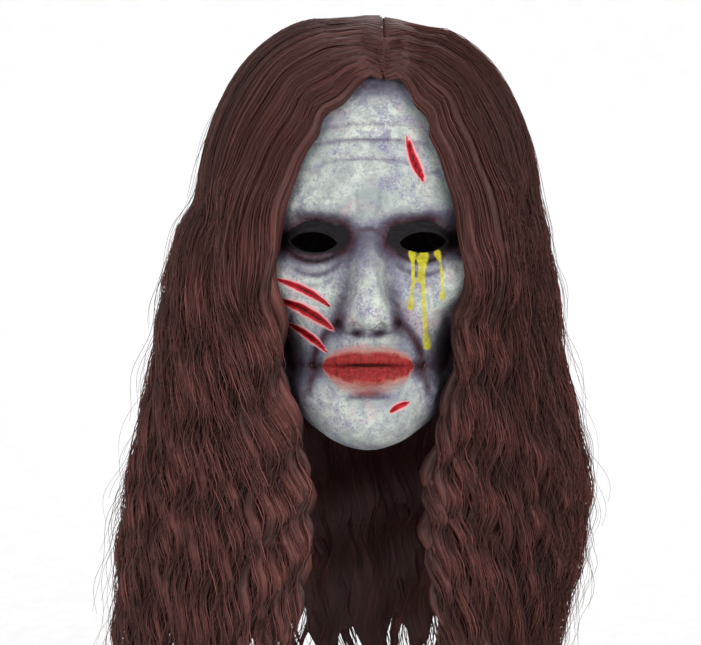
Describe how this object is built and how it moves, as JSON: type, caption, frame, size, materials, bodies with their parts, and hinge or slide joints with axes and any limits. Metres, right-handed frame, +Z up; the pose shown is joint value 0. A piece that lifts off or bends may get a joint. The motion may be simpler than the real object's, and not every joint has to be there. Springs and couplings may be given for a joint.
{
  "type": "horror mask with a wig",
  "caption": "Full-face latex costume mask with open eye and nostril holes and a long, centre-parted wavy wig sewn to its cap.",
  "frame": {"origin": "where the crown of the wearer's head touches the inside of the mask, under the top of the cap", "axes": "+Z up, the face looks along -Y, +X points to the viewer's right; left and right in names are the viewer's"},
  "size_m": [0.2862, 0.2359, 0.4459],
  "materials": {
    "latex": "satin moulded latex, sponged grey with painted shading",
    "cap_net": "dark brown woven cap",
    "seam_thread": "matte dark thread",
    "hair": "soft-sheen synthetic hair, dark reddish brown"
  },
  "bodies": {
    "root": {"latex_face": "latex", "wig_cap": "cap_net", "parting_seam": "seam_thread", "hair_front_left": "hair", "hair_front_right": "hair", "hair_back": "hair"}
  },
  "joints": []
}
